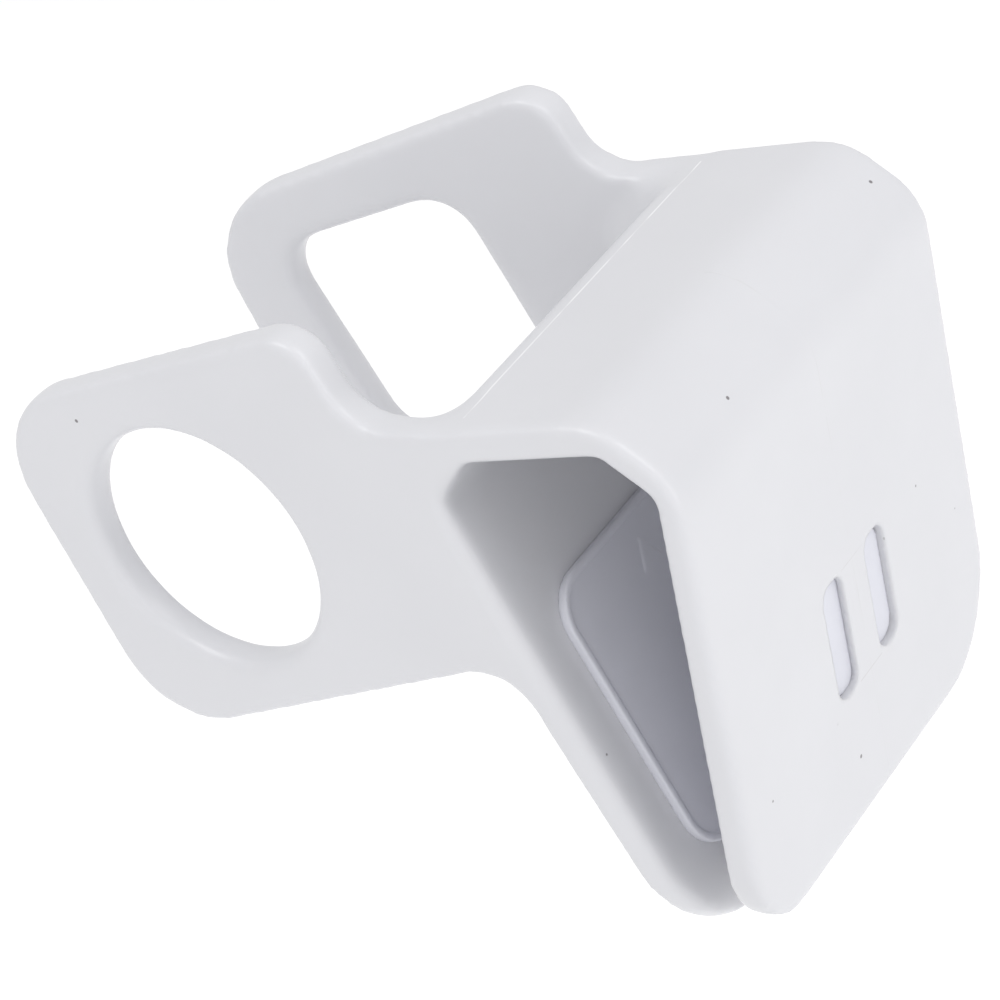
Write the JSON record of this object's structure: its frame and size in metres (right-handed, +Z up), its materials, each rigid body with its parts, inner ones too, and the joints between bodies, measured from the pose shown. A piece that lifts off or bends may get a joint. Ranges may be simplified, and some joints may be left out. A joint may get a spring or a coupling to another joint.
{
  "type": "clip-on handpiece and cable holder for an apex locator",
  "caption": "White moulded clip-on holder for an apex locator: a spring clip with two inner grip pads and two side arms, one with a round hole and one with a square hole.",
  "frame": {"origin": "middle of the clip seat, the flat underside of the top band that rests on the panel's edge", "axes": "+X across the width, from the arm with the round hole towards the arm with the square hole; +Y the way the arms reach out; +Z up, away from the panel"},
  "size_m": [0.0384, 0.0568, 0.0501],
  "materials": {
    "white_plastic": "satin",
    "grip_pad": "matte"
  },
  "bodies": {
    "root": {"bracket": "white_plastic", "rear_grip_pad": "grip_pad", "front_grip_pad": "grip_pad"}
  },
  "joints": []
}
